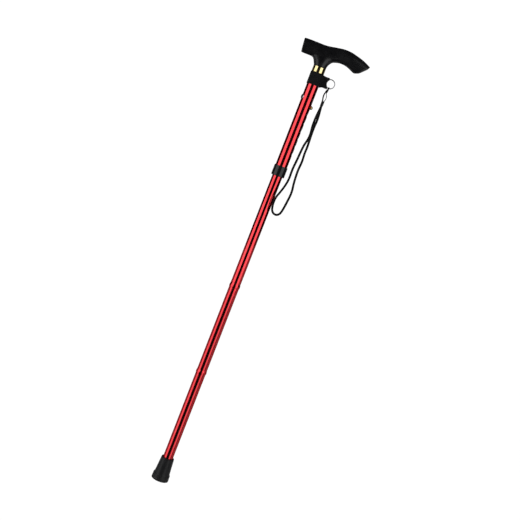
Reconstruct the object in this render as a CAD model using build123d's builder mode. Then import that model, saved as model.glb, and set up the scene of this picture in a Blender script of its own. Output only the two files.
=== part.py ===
from build123d import *
import os
from math import cos, pi, radians, sin, tan

# Folding, height-adjustable walking cane with a derby handle and a wrist strap.
# Millimetres. The foot's centre is the origin, +Z runs up the shaft, and +X points the way the
# long end of the handle, the strap and the snap button point. It is modelled at its shortest
# height setting with all its sections closed up.

os.makedirs("parts", exist_ok=True)

# ---- driving dimensions -----------------------------------------------------------------

SECTION_R = 9.5            # outer radius of every 19 mm shaft section
SECTION_BORE = 8.3
UPPER_R = 11.1             # outer radius of the 22 mm upper tube
UPPER_BORE = 9.9

FOOT_JOINT_Z = 218.4       # where the lower and middle sections meet
MIDDLE_JOINT_Z = 391.3     # where the middle and upper sections meet
COLLAR_JOINT_Z = 611.3     # where the upper section meets the adjusting tube, inside the collar
BELL_R = 10.2              # swaged mouth of a section
BELL_HEIGHT = 8.4
BELL_MOUTH_BORE = 9.2

SPIGOT_REACH = 38.0        # how far a spigot stands up into the section above
SPIGOT_SEAT = 25.0         # how deep it is pressed into its own section
SPIGOT_R = 8.22
SPIGOT_BORE = 5.5
SPIGOT_CONE_R = 9.0

ADJUSTER_TOP_Z = 754.5     # top of the adjusting tube at the shortest setting
BUTTON_Z = 745.5
BUTTON_R = 3.4
BUTTON_HOLE_R = 3.55
BUTTON_TIP_X = 15.1
BUTTON_TAIL_R = 1.5        # riveted through the spring's leaf
HOLE_PITCH = 15.0
HOLE_COUNT = 7
SPRING_GAUGE = 0.7
SPRING_WIDTH = 5.6
SPRING_LEG_X = 7.15        # middle of the leaf that carries the button
SPRING_BEND_Z = 722.0
SPRING_TAIL_Z = 741.0
LEAF_FACE_X = SPRING_LEG_X + SPRING_GAUGE / 2
LEAF_BACK_X = SPRING_LEG_X - SPRING_GAUGE / 2

COLLAR_BOTTOM_Z = 610.2    # lock collar
COLLAR_TOP_Z = 629.7
COLLAR_R = 12.5
COLLET_BOTTOM_Z = 620.2
UPPER_TUBE_BOTTOM_Z = 624.5
UPPER_TUBE_TOP_Z = 817.4
SLEEVE_R = 11.75           # split sleeve that the collar squeezes
SLIT_COUNT = 4
SLIT_WIDTH = 1.0
SLIT_HEIGHT = 4.0

RIVET_Z = 759.3
RIVET_HEADING = 205.0      # degrees about Z
RIVET_SHANK_R = 2.0
RIVET_HEAD_R = 4.4
RIVET_HEAD_HEIGHT = 1.1

BAND_BOTTOM_Z = 784.3      # strap webbing round the upper tube
BAND_TOP_Z = 807.2
BAND_R = 12.35
WEBBING = 1.0              # thickness inside the ring
TAB_END_X = 24.4
TAB_THICKNESS = 4.2
TAB_BOTTOM_Z = 786.4
TAB_TOP_Z = 806.6

RING_X = 28.5              # round wire ring in the webbing's fold
RING_Z = 797.0
RING_R = 8.15
RING_WIRE_R = 0.85
RING_CLEARANCE = 0.3

BRASS_BOTTOM_Z = 807.3
BRASS_TOP_Z = 818.1
BRASS_R = 11.7
NECK_R = 11.5

STEM_R = 9.85              # the grip's moulded stem
STEM_BOTTOM_Z = 755.3
STEM_TANG_R = 7.5
STEM_TANG_TOP_Z = 842.0
GRIP_EDGE_R = 1.6

TIP_TOP_Z = 45.0           # rubber foot
TIP_SOLE_R = 16.6
TIP_FLANGE_R = 16.2
TIP_SHOULDER_R = 14.6
TIP_TOP_R = 12.3
TIP_FLOOR_Z = 10.5
WASHER_TOP_Z = 12.0
TREAD_DEPTH = 2.0
TREAD_RINGS = (5.0, 6.5, 9.0, 10.5)   # radii where the tread steps up and down
TIP_FLANGE_TOP_Z = 12.3

SHOCK_CORD_R = 2.0         # elastic cord inside the shaft, and the plugs that it passes
ANCHOR_LOW = (23.0, 34.0)  # bottom and top of the lower plug
ANCHOR_HIGH = (688.0, 699.0)
CRIMP_LENGTH = 7.0
ANCHOR_HOLE_R = 2.1
CRIMP_R = 4.0
CRIMP_BORE = 2.05

CORD_DIAMETER = 4.2        # flat wrist cord, by its width
LACE_DIAMETER = 2.2        # lace that ties the wrist cord to the ring
HITCH_FOOT_X = 26.65       # lace hitch under the ring
HITCH_FOOT_Z = 779.4
HITCH_R = 2.3
LOOP_WIRE_R = 0.9
JOINER_X = 27.9            # joiner of lace and wrist cord
JOINER_BOTTOM_Z = 755.5
JOINER_TOP_Z = 764.5
JOINER_WIDTH = 5.4
JOINER_DEPTH = 8.8
ARC_SHARE = 0.45           # share of the shorter run that an arc takes up at each end


def corner_radii(route):
    """The largest arc that each corner of a cord's route leaves room for."""
    radii = []
    for before, here, after in zip(route, route[1:], route[2:]):
        run_in = Vector(*here) - Vector(*before)
        run_out = Vector(*after) - Vector(*here)
        turn = radians(run_in.get_angle(run_out))
        radii.append(ARC_SHARE * min(run_in.length, run_out.length) / tan(turn / 2))
    return radii


def report_cord(name, route, radii, part, path_length, diameter):
    """Print what a cord's tube measures against its section times its length."""
    section = pi * diameter ** 2 / 4
    print(name, "length", round(path_length, 1), "points", len(route))
    print("  radii", [round(radius, 1) for radius in radii])
    print("  volume ratio", round(part.volume / (section * path_length), 4))


# ---- rubber foot and lower section -------------------------------------------------------

with BuildPart() as rubber_tip:
    with BuildSketch(Plane.XZ):
        with BuildLine():
            first, second, third, fourth = TREAD_RINGS
            Polyline(
                (0, TIP_FLOOR_Z), (0, 0), (first, 0), (first, TREAD_DEPTH), (second, TREAD_DEPTH),
                (second, 0), (third, 0), (third, TREAD_DEPTH), (fourth, TREAD_DEPTH), (fourth, 0),
                (TIP_SOLE_R - 0.8, 0),
            )
            RadiusArc((TIP_SOLE_R - 0.8, 0), (TIP_SOLE_R, 0.8), -0.8)
            Polyline(
                (TIP_SOLE_R, 0.8), (TIP_FLANGE_R, TIP_FLANGE_TOP_Z - 1),
                (TIP_FLANGE_R - 0.8, TIP_FLANGE_TOP_Z), (TIP_SHOULDER_R + 0.3, TIP_FLANGE_TOP_Z + 1),
                (TIP_SHOULDER_R, TIP_FLANGE_TOP_Z + 2.6), (TIP_TOP_R, TIP_TOP_Z - 0.8),
                (TIP_TOP_R - 0.8, TIP_TOP_Z), (SECTION_R, TIP_TOP_Z), (SECTION_R, TIP_FLOOR_Z),
                (0, TIP_FLOOR_Z),
            )
        make_face()
    revolve(axis=Axis.Z)
rubber_tip.part.label = "rubber_tip"
export_step(rubber_tip.part, "parts/rubber_tip.step")

with BuildPart() as tip_washer:
    with BuildSketch(Plane.XY.offset(TIP_FLOOR_Z)):
        Circle(SECTION_R - 0.2)
    extrude(amount=WASHER_TOP_Z - TIP_FLOOR_Z)
    chamfer(tip_washer.edges(), 0.2)
tip_washer.part.label = "tip_washer"
export_step(tip_washer.part, "parts/tip_washer.step")

with BuildPart() as lower_section_tube:
    with BuildSketch(Plane.XY.offset(WASHER_TOP_Z)):
        Circle(SECTION_R)
        Circle(SECTION_BORE, mode=Mode.SUBTRACT)
    extrude(amount=FOOT_JOINT_Z - WASHER_TOP_Z)
lower_section_tube.part.label = "lower_section_tube"
export_step(lower_section_tube.part, "parts/lower_section_tube.step")


def plug(bottom, top):
    """A turned plug that fills a section's bore and lets the elastic cord through."""
    with BuildPart() as piece:
        with BuildSketch(Plane.XZ):
            with BuildLine():
                Polyline(
                    (ANCHOR_HOLE_R, bottom), (SECTION_BORE - 0.6, bottom), (SECTION_BORE, bottom + 0.6),
                    (SECTION_BORE, top - 0.6), (SECTION_BORE - 0.6, top), (ANCHOR_HOLE_R, top),
                    close=True,
                )
            make_face()
        revolve(axis=Axis.Z)
    return piece


def crimp(bottom, top):
    """A metal sleeve crimped on the end of the elastic cord, waisted by the crimping jaws."""
    middle = (bottom + top) / 2
    with BuildPart() as piece:
        with BuildSketch(Plane.XZ):
            with BuildLine():
                Polyline((CRIMP_R, top), (CRIMP_BORE, top), (CRIMP_BORE, bottom), (CRIMP_R, bottom))
                ThreePointArc((CRIMP_R, bottom), (CRIMP_R - 0.8, middle), (CRIMP_R, top))
            make_face()
        revolve(axis=Axis.Z)
    return piece


cord_anchor_bottom = plug(*ANCHOR_LOW)
cord_anchor_bottom.part.label = "cord_anchor_bottom"
export_step(cord_anchor_bottom.part, "parts/cord_anchor_bottom.step")

cord_crimp_bottom = crimp(ANCHOR_LOW[0] - CRIMP_LENGTH, ANCHOR_LOW[0])
cord_crimp_bottom.part.label = "cord_crimp_bottom"
export_step(cord_crimp_bottom.part, "parts/cord_crimp_bottom.step")

cord_anchor_top = plug(*ANCHOR_HIGH)
cord_anchor_top.part.label = "cord_anchor_top"
export_step(cord_anchor_top.part, "parts/cord_anchor_top.step")

cord_crimp_top = crimp(ANCHOR_HIGH[1], ANCHOR_HIGH[1] + CRIMP_LENGTH)
cord_crimp_top.part.label = "cord_crimp_top"
export_step(cord_crimp_top.part, "parts/cord_crimp_top.step")

with BuildPart() as elastic_cord:
    with BuildSketch(Plane.XY.offset(ANCHOR_LOW[0] - CRIMP_LENGTH)):
        Circle(SHOCK_CORD_R)
    extrude(amount=ANCHOR_HIGH[1] - ANCHOR_LOW[0] + 2 * CRIMP_LENGTH)
elastic_cord.part.label = "elastic_cord"
export_step(elastic_cord.part, "parts/elastic_cord.step")


# ---- shaft sections with swaged mouths, and the spigots that join them --------------------

def belled_tube(bottom, top, button_z=None):
    """A section whose lower mouth is swaged out to take the spigot below it."""
    neck = bottom + BELL_HEIGHT
    with BuildPart() as piece:
        with BuildSketch(Plane.XZ):
            with BuildLine():
                Polyline(
                    (BELL_R, bottom + 3.5), (BELL_R, bottom + 0.5), (BELL_R - 0.4, bottom),
                    (BELL_MOUTH_BORE, bottom), (SECTION_BORE, neck), (SECTION_BORE, top),
                    (SECTION_R, top), (SECTION_R, neck),
                )
                Spline(
                    (BELL_R, bottom + 3.5), (SECTION_R, neck),
                    tangents=((0, 1), (0, 1)),
                )
            make_face()
        revolve(axis=Axis.Z)
        if button_z:
            with Locations(Plane(origin=(SECTION_R, 0, button_z), z_dir=(1, 0, 0))):
                Hole(BUTTON_R + 0.1, depth=4)
    return piece


def spigot(rim):
    """An aluminium spigot pressed into a section's top, with a cone that centres the joint."""
    low = rim - SPIGOT_SEAT
    high = rim + SPIGOT_REACH
    with BuildPart() as piece:
        with BuildSketch(Plane.XZ):
            with BuildLine():
                Polyline(
                    (SPIGOT_BORE, low), (SECTION_BORE - 0.5, low), (SECTION_BORE, low + 1),
                    (SECTION_BORE, rim), (SPIGOT_CONE_R, rim), (SPIGOT_R, rim + 7.8),
                    (SPIGOT_R, high - 6), (SPIGOT_R - 0.9, high - 0.8), (SPIGOT_R - 1.7, high),
                    (SPIGOT_BORE + 0.6, high), (SPIGOT_BORE, high - 0.8),
                    close=True,
                )
            make_face()
        revolve(axis=Axis.Z)
    return piece


middle_section_tube = belled_tube(FOOT_JOINT_Z, MIDDLE_JOINT_Z)
middle_section_tube.part.label = "middle_section_tube"
export_step(middle_section_tube.part, "parts/middle_section_tube.step")

upper_section_tube = belled_tube(MIDDLE_JOINT_Z, COLLAR_JOINT_Z)
upper_section_tube.part.label = "upper_section_tube"
export_step(upper_section_tube.part, "parts/upper_section_tube.step")

for rim, name in (
    (FOOT_JOINT_Z, "lower_joint_spigot"),
    (MIDDLE_JOINT_Z, "middle_joint_spigot"),
    (COLLAR_JOINT_Z, "upper_joint_spigot"),
):
    joint_spigot = spigot(rim)
    joint_spigot.part.label = name
    export_step(joint_spigot.part, f"parts/{name}.step")

# ---- adjusting tube with its snap button ---------------------------------------------------

adjusting_tube = belled_tube(COLLAR_JOINT_Z, ADJUSTER_TOP_Z, button_z=BUTTON_Z)
adjusting_tube.part.label = "adjusting_tube"
export_step(adjusting_tube.part, "parts/adjusting_tube.step")

with BuildPart() as snap_spring:
    with BuildSketch(Plane.XZ):
        with BuildLine():
            Line((SPRING_LEG_X, BUTTON_Z + 6), (SPRING_LEG_X, BUTTON_Z - 6))
            Line((SPRING_LEG_X, BUTTON_Z - 6), (4.5, SPRING_BEND_Z))
            ThreePointArc((4.5, SPRING_BEND_Z), (0, SPRING_BEND_Z - 5.2), (-4.5, SPRING_BEND_Z))
            Line((-4.5, SPRING_BEND_Z), (-SPRING_LEG_X, SPRING_TAIL_Z))
        trace(line_width=SPRING_GAUGE)
    extrude(amount=SPRING_WIDTH / 2, both=True)
    with BuildSketch(Plane.YZ.offset(SPRING_LEG_X - 1)):
        with Locations((0, BUTTON_Z)):
            Circle(BUTTON_TAIL_R + 0.06)
    extrude(amount=2, mode=Mode.SUBTRACT)
snap_spring.part.label = "snap_spring"
export_step(snap_spring.part, "parts/snap_spring.step")

with BuildPart() as snap_button:
    with BuildSketch(Plane.XY.offset(BUTTON_Z)):
        with BuildLine():
            Polyline(
                (LEAF_BACK_X - 0.7, 0), (LEAF_BACK_X - 0.7, 1.9), (LEAF_BACK_X, 2.3),
                (LEAF_BACK_X, BUTTON_TAIL_R), (LEAF_FACE_X, BUTTON_TAIL_R), (LEAF_FACE_X, BUTTON_R),
                (BUTTON_TIP_X - 2.9, BUTTON_R),
            )
            ThreePointArc(
                (BUTTON_TIP_X - 2.9, BUTTON_R), (BUTTON_TIP_X - 0.8, 2.3), (BUTTON_TIP_X, 0.6),
            )
            Polyline((BUTTON_TIP_X, 0.6), (BUTTON_TIP_X, 0), (LEAF_BACK_X - 0.7, 0))
        make_face()
    revolve(axis=Axis((0, 0, BUTTON_Z), (1, 0, 0)))
snap_button.part.label = "snap_button"
export_step(snap_button.part, "parts/snap_button.step")

# ---- upper tube, lock collar and handle stem -----------------------------------------------

rivet_plane = Plane(
    origin=(UPPER_R * cos(radians(RIVET_HEADING)), UPPER_R * sin(radians(RIVET_HEADING)), RIVET_Z),
    z_dir=(cos(radians(RIVET_HEADING)), sin(radians(RIVET_HEADING)), 0),
)

with BuildPart() as upper_tube:
    with BuildSketch(Plane.XY.offset(UPPER_TUBE_BOTTOM_Z)):
        Circle(UPPER_R)
        Circle(UPPER_BORE, mode=Mode.SUBTRACT)
    extrude(amount=UPPER_TUBE_TOP_Z - UPPER_TUBE_BOTTOM_Z)
    for step in range(HOLE_COUNT):
        with Locations(Plane(origin=(UPPER_R, 0, BUTTON_Z - step * HOLE_PITCH), z_dir=(1, 0, 0))):
            Hole(BUTTON_HOLE_R, depth=4)
    with Locations(rivet_plane):
        Hole(RIVET_SHANK_R, depth=4)
upper_tube.part.label = "upper_tube"
export_step(upper_tube.part, "parts/upper_tube.step")

with BuildPart() as collet_sleeve:
    with BuildSketch(Plane.XZ):
        with BuildLine():
            Polyline(
                (SECTION_R + 0.2, COLLET_BOTTOM_Z), (UPPER_R - 0.3, COLLET_BOTTOM_Z),
                (UPPER_R + 0.3, COLLET_BOTTOM_Z + 2), (SLEEVE_R, COLLET_BOTTOM_Z + 2.6),
                (SLEEVE_R, COLLAR_TOP_Z - 0.6), (UPPER_R, COLLAR_TOP_Z - 0.6),
                (UPPER_R, UPPER_TUBE_BOTTOM_Z), (SECTION_R + 0.2, UPPER_TUBE_BOTTOM_Z),
                close=True,
            )
        make_face()
    revolve(axis=Axis.Z)
    with BuildSketch(Plane.XY.offset(COLLET_BOTTOM_Z)):
        with PolarLocations(SECTION_R + 1.3, SLIT_COUNT, start_angle=45):
            Rectangle(4, SLIT_WIDTH)
    extrude(amount=SLIT_HEIGHT, mode=Mode.SUBTRACT)
collet_sleeve.part.label = "collet_sleeve"
export_step(collet_sleeve.part, "parts/collet_sleeve.step")

with BuildPart() as lock_collar:
    with BuildSketch(Plane.XZ):
        with BuildLine():
            Polyline(
                (BELL_R + 0.5, COLLAR_BOTTOM_Z), (COLLAR_R - 0.5, COLLAR_BOTTOM_Z),
                (COLLAR_R, COLLAR_BOTTOM_Z + 0.5), (COLLAR_R, COLLAR_TOP_Z - 1.9),
                (COLLAR_R - 0.35, COLLAR_TOP_Z), (SLEEVE_R + 0.08, COLLAR_TOP_Z),
                (SLEEVE_R + 0.08, COLLET_BOTTOM_Z + 2.5), (UPPER_R + 0.1, COLLET_BOTTOM_Z - 0.1),
                (BELL_R + 0.5, COLLET_BOTTOM_Z - 0.1),
                close=True,
            )
        make_face()
    revolve(axis=Axis.Z)
lock_collar.part.label = "lock_collar"
export_step(lock_collar.part, "parts/lock_collar.step")

with BuildPart() as handle_stem:
    with BuildSketch(Plane.XZ):
        with BuildLine():
            Polyline(
                (STEM_R - 4, STEM_BOTTOM_Z), (STEM_R - 0.8, STEM_BOTTOM_Z), (STEM_R, STEM_BOTTOM_Z + 0.8),
                (STEM_R, BRASS_TOP_Z), (STEM_TANG_R, BRASS_TOP_Z), (STEM_TANG_R, BRASS_TOP_Z + 6),
                (STEM_TANG_R - 1.5, BRASS_TOP_Z + 7.5), (STEM_TANG_R - 1.5, BRASS_TOP_Z + 11),
                (STEM_TANG_R, BRASS_TOP_Z + 12.5), (STEM_TANG_R, STEM_TANG_TOP_Z - 1),
                (STEM_TANG_R - 1, STEM_TANG_TOP_Z), (0, STEM_TANG_TOP_Z), (0, BRASS_TOP_Z - 8),
                (STEM_R - 4, BRASS_TOP_Z - 8),
                close=True,
            )
        make_face()
    revolve(axis=Axis.Z)
    with Locations(rivet_plane):
        Hole(RIVET_SHANK_R, depth=UPPER_R)
handle_stem.part.label = "handle_stem"
export_step(handle_stem.part, "parts/handle_stem.step")

with BuildPart() as handle_rivet:
    with BuildSketch(rivet_plane.offset(-1)):
        Circle(RIVET_HEAD_R)
    extrude(amount=1 + RIVET_HEAD_HEIGHT)
    outward = Axis(rivet_plane.origin, rivet_plane.z_dir)
    fillet(handle_rivet.edges().sort_by(outward)[-1], RIVET_HEAD_HEIGHT * 0.9)
    with Locations((0, 0, RIVET_Z)):
        Cylinder(UPPER_R, 4 * RIVET_HEAD_R, mode=Mode.SUBTRACT)
    with BuildSketch(rivet_plane.offset(-5)):
        Circle(RIVET_SHANK_R)
    extrude(amount=5.2)
handle_rivet.part.label = "handle_rivet"
export_step(handle_rivet.part, "parts/handle_rivet.step")

with BuildPart() as brass_collar:
    with BuildSketch(Plane.XZ):
        with BuildLine():
            Polyline(
                (UPPER_R, BRASS_BOTTOM_Z), (BRASS_R - 0.3, BRASS_BOTTOM_Z),
                (BRASS_R, BRASS_BOTTOM_Z + 0.4), (BRASS_R, BRASS_TOP_Z - 0.4),
                (BRASS_R - 0.3, BRASS_TOP_Z), (STEM_R, BRASS_TOP_Z),
                (STEM_R, UPPER_TUBE_TOP_Z), (UPPER_R, UPPER_TUBE_TOP_Z),
                close=True,
            )
        make_face()
    revolve(axis=Axis.Z)
brass_collar.part.label = "brass_collar"
export_step(brass_collar.part, "parts/brass_collar.step")

# ---- derby grip ----------------------------------------------------------------------------

# Oval sections across the arm: x, top z, bottom z, half thickness. The first and last lie past
# the slanting flats that end the arm.
ARM_SECTIONS = (
    (-48.0, 857.2, 832.2, 12.0),
    (-36.0, 857.8, 831.4, 12.8),
    (-22.0, 857.9, 831.3, 13.4),
    (-2.0, 858.0, 829.0, 13.6),
    (15.0, 860.8, 832.6, 13.6),
    (30.0, 863.1, 837.0, 13.6),
    (44.4, 862.6, 835.9, 13.4),
    (58.8, 859.4, 830.2, 12.8),
    (71.3, 855.6, 827.6, 12.0),
    (88.0, 848.0, 826.0, 11.0),
)
# The heel's flat, then the toe's three: under the tip, between, and under the lip.
GRIP_FLATS = (
    Plane(origin=(-43.3, 0, 852.0), z_dir=(-0.995, 0, -0.1)),
    Plane(origin=(81.6, 0, 845.7), z_dir=(0.848, 0, -0.53)),
    Plane(origin=(74.9, 0, 838.8), z_dir=(0.7, 0, -0.714)),
    Plane(origin=(63.0, 0, 830.7), z_dir=(0.4, 0, -0.917)),
)

# Oval sections up the neck: z, centre x, half length, half thickness.
NECK_SECTIONS = (
    (BRASS_TOP_Z, 0.0, 11.6, NECK_R),
    (823.2, -0.8, 12.9, 11.9),
    (828.7, -1.1, 15.7, 12.4),
    (832.7, -2.1, 19.8, 12.8),
    (837.0, -1.9, 24.3, 12.6),
    (843.0, -3.0, 22.0, 11.6),
)

with BuildPart() as handle_grip:
    for x, top, bottom, half_thickness in ARM_SECTIONS:
        with BuildSketch(Plane.YZ.offset(x)):
            with Locations((0, (top + bottom) / 2)):
                Ellipse(half_thickness, (top - bottom) / 2)
    loft()
    for flat in GRIP_FLATS:
        split(bisect_by=flat, keep=Keep.BOTTOM)
    heel_face = handle_grip.faces().filter_by(GeomType.PLANE).sort_by(Axis.X)[0]
    fillet(heel_face.edges(), GRIP_EDGE_R)
    for z, centre_x, half_length, half_thickness in NECK_SECTIONS:
        with BuildSketch(Plane.XY.offset(z)):
            with Locations((centre_x, 0)):
                Ellipse(half_length, half_thickness)
    loft()
    add(handle_stem.part, mode=Mode.SUBTRACT)
handle_grip.part.label = "handle_grip"
export_step(handle_grip.part, "parts/handle_grip.step")

# ---- strap webbing and ring ----------------------------------------------------------------

ring_plane = Plane(origin=(RING_X, 0, RING_Z), z_dir=(0, -1, 0))

with BuildPart() as strap_band:
    with BuildSketch(Plane.XY.offset(BAND_BOTTOM_Z)):
        Circle(BAND_R)
    extrude(amount=BAND_TOP_Z - BAND_BOTTOM_Z)
    with BuildSketch(Plane.XY.offset(TAB_BOTTOM_Z)):
        with Locations((TAB_END_X / 2, 0)):
            Rectangle(TAB_END_X, TAB_THICKNESS)
    extrude(amount=TAB_TOP_Z - TAB_BOTTOM_Z)
    with BuildSketch(Plane.XY.offset(BAND_BOTTOM_Z)):
        Circle(UPPER_R)
    extrude(amount=BAND_TOP_Z - BAND_BOTTOM_Z, mode=Mode.SUBTRACT)
    with BuildSketch(ring_plane):
        Circle(RING_R - RING_WIRE_R - RING_CLEARANCE - WEBBING)
    extrude(amount=TAB_THICKNESS, both=True, mode=Mode.SUBTRACT)
    with Locations(ring_plane):
        Torus(RING_R, RING_WIRE_R + RING_CLEARANCE, mode=Mode.SUBTRACT)
strap_band.part.label = "strap_band"
export_step(strap_band.part, "parts/strap_band.step")

with BuildPart() as strap_ring:
    with Locations(ring_plane):
        Torus(RING_R, RING_WIRE_R)
strap_ring.part.label = "strap_ring"
export_step(strap_ring.part, "parts/strap_ring.step")

# ---- lace, joiner and wrist cord -----------------------------------------------------------

# Round sections down the hitch: z, centre x, radius.
HITCH_SECTIONS = (
    (RING_Z - RING_R - 1.6, 28.4, 1.5),
    (784.4, 27.6, 2.1),
    (781.4, 26.9, HITCH_R),
    (HITCH_FOOT_Z, HITCH_FOOT_X, HITCH_R),
)

with BuildPart() as lace_hitch:
    for z, centre_x, radius in HITCH_SECTIONS:
        with BuildSketch(Plane.XY.offset(z)):
            with Locations((centre_x, 0)):
                Circle(radius)
    loft()
    with Locations(Plane(origin=(RING_X, 0, RING_Z - RING_R), z_dir=(1, 0, 0))):
        Torus(RING_WIRE_R + 0.4 + LOOP_WIRE_R, LOOP_WIRE_R)
lace_hitch.part.label = "lace_hitch"
export_step(lace_hitch.part, "parts/lace_hitch.step")

with BuildPart() as cord_joiner:
    with BuildSketch(Plane.XY.offset(JOINER_BOTTOM_Z)):
        with Locations((JOINER_X, 0)):
            RectangleRounded(JOINER_WIDTH, JOINER_DEPTH, 2)
    extrude(amount=JOINER_TOP_Z - JOINER_BOTTOM_Z)
    fillet(cord_joiner.faces().filter_by(Axis.Z).edges(), 0.5)
cord_joiner.part.label = "cord_joiner"
export_step(cord_joiner.part, "parts/cord_joiner.step")

# Down the near leg, round inside the joiner and up the other leg.
LACE_ROUTE = [
    (25.5, 0, 779.4), (24.9, 0, 775.6), (25.1, 0, 771.6), (25.8, 0, 768.1), (26.4, 0, 765.0),
    (26.5, 0, 761.9), (29.3, 0, 761.9), (29.5, 0, 764.9), (30.8, 0, 768.6), (30.9, 0, 772.6),
    (29.7, 0, 776.3), (27.8, 0, 779.4),
]

# Down the near strand, round the bottom of the loop and up the far strand. The two strands
# twist round each other between the joiner and the loop.
WRIST_CORD_ROUTE = [
    (27.9, -2.3, 755.5), (26.9, -2.2, 744.0), (25.9, -0.9, 730.0), (26.1, -1.7, 716.0),
    (28.2, -2.4, 702.0), (27.3, -3.0, 690.0), (24.4, -4.2, 679.5), (23.3, -5.6, 665.5),
    (22.4, -7.4, 648.5), (20.8, -9.2, 631.5), (21.7, -10.6, 614.0), (19.8, -11.8, 600.5),
    (15.5, -13.0, 585.5), (11.2, -13.6, 573.8), (10.9, -13.6, 561.5), (13.1, -13.0, 549.6),
    (18.0, -12.3, 544.6), (24.8, -11.3, 544.2), (29.7, -10.2, 549.3), (31.8, -8.8, 559.8),
    (33.6, -7.2, 575.0), (35.1, -5.8, 592.0), (32.7, -4.6, 606.6), (31.4, -3.7, 621.0),
    (30.9, -2.8, 635.3), (32.3, -1.8, 650.4), (30.9, -0.6, 664.6), (31.4, 0.6, 679.0),
    (30.6, 1.8, 690.5), (30.0, 2.4, 702.0), (29.7, 1.7, 716.0), (30.6, 0.9, 730.0),
    (29.3, 2.2, 744.0), (27.9, 2.3, 755.5),
]


def cord_tube(name, route, diameter):
    """A round tube along a route of straight runs joined by the largest tangent arcs."""
    radii = corner_radii(route)
    with BuildPart() as piece:
        with BuildLine() as path:
            FilletPolyline(*route, radius=radii)
        track = path.wires()[0]
        with BuildSketch(Plane(origin=track @ 0, z_dir=track % 0)):
            Circle(diameter / 2)
        sweep(path=track)
    report_cord(name, route, radii, piece.part, track.length, diameter)
    return piece


lace = cord_tube("lace", LACE_ROUTE, LACE_DIAMETER)
lace.part.label = "lace"
export_step(lace.part, "parts/lace.step")

wrist_cord = cord_tube("wrist_cord", WRIST_CORD_ROUTE, CORD_DIAMETER)
wrist_cord.part.label = "wrist_cord"
export_step(wrist_cord.part, "parts/wrist_cord.step")
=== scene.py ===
from math import copysign, cos, pi, radians, sin, sqrt

import bmesh
import bpy
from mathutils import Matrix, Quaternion, Vector


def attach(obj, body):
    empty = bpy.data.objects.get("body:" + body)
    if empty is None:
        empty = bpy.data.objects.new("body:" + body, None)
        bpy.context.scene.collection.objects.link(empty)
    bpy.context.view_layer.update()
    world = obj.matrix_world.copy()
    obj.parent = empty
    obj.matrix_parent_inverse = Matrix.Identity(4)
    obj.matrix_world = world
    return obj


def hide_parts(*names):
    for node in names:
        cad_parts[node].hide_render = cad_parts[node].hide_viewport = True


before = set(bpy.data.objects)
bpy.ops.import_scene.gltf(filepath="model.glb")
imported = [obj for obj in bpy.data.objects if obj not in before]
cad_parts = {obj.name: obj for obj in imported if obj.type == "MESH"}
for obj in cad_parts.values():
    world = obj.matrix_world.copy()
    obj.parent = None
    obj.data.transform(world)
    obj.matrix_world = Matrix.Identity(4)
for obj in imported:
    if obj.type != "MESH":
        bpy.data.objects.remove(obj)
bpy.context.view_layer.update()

# Folding walking cane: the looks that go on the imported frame. Metres, +Z up the shaft. The
# long end of the grip, the strap and the snap button point along +X.

# ---- camera ------------------------------------------------------------------------------

CAMERA_AT = Vector((0.026, -1.70, 0.647))
CAMERA_LOOKS_AT = Vector((0.026, 0.0, 0.456))
CAMERA_ROLL = radians(21.35)      # the shaft leans to the right in the picture
CAMERA_LENS = 64.66

camera_data = bpy.data.cameras.new("camera")
camera_data.lens = CAMERA_LENS
camera = bpy.data.objects.new("camera", camera_data)
bpy.context.scene.collection.objects.link(camera)
camera.location = CAMERA_AT
camera.rotation_mode = "QUATERNION"
aim = (CAMERA_LOOKS_AT - CAMERA_AT).to_track_quat("-Z", "Y")
camera.rotation_quaternion = aim @ Quaternion((0, 0, 1), CAMERA_ROLL)
bpy.context.scene.camera = camera

# ---- cords' routes -----------------------------------------------------------------------

# Down the near leg of the lace, round inside the joiner and up the other leg.
LACE_ROUTE = [
    (0.0255, 0.0, 0.7794), (0.0249, 0.0, 0.7756), (0.0251, 0.0, 0.7716), (0.0258, 0.0, 0.7681),
    (0.0264, 0.0, 0.7650), (0.0265, 0.0, 0.7619), (0.0293, 0.0, 0.7619), (0.0295, 0.0, 0.7649),
    (0.0308, 0.0, 0.7686), (0.0309, 0.0, 0.7726), (0.0297, 0.0, 0.7763), (0.0278, 0.0, 0.7794),
]

# Down the near strand of the wrist loop, round its bottom and up the far strand.
WRIST_CORD_ROUTE = [
    (0.0279, -0.0023, 0.7555), (0.0269, -0.0022, 0.7440), (0.0259, -0.0009, 0.7300),
    (0.0261, -0.0017, 0.7160), (0.0282, -0.0024, 0.7020), (0.0273, -0.0030, 0.6900),
    (0.0244, -0.0042, 0.6795), (0.0233, -0.0056, 0.6655), (0.0224, -0.0074, 0.6485),
    (0.0208, -0.0092, 0.6315), (0.0217, -0.0106, 0.6140), (0.0198, -0.0118, 0.6005),
    (0.0155, -0.0130, 0.5855), (0.0112, -0.0136, 0.5738), (0.0109, -0.0136, 0.5615),
    (0.0131, -0.0130, 0.5496), (0.0180, -0.0123, 0.5446), (0.0248, -0.0113, 0.5442),
    (0.0297, -0.0102, 0.5493), (0.0318, -0.0088, 0.5598), (0.0336, -0.0072, 0.5750),
    (0.0351, -0.0058, 0.5920), (0.0327, -0.0046, 0.6066), (0.0314, -0.0037, 0.6210),
    (0.0309, -0.0028, 0.6353), (0.0323, -0.0018, 0.6504), (0.0309, -0.0006, 0.6646),
    (0.0314, 0.0006, 0.6790), (0.0306, 0.0018, 0.6905), (0.0300, 0.0024, 0.7020),
    (0.0297, 0.0017, 0.7160), (0.0306, 0.0009, 0.7300), (0.0293, 0.0022, 0.7440),
    (0.0279, 0.0023, 0.7555),
]

LACE_WIDTH = 0.0025
LACE_THICKNESS = 0.0013
LACE_STEPS = 20
WRIST_CORD_WIDTH = 0.0042
WRIST_CORD_THICKNESS = 0.0029
WRIST_CORD_STEPS = 32

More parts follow.
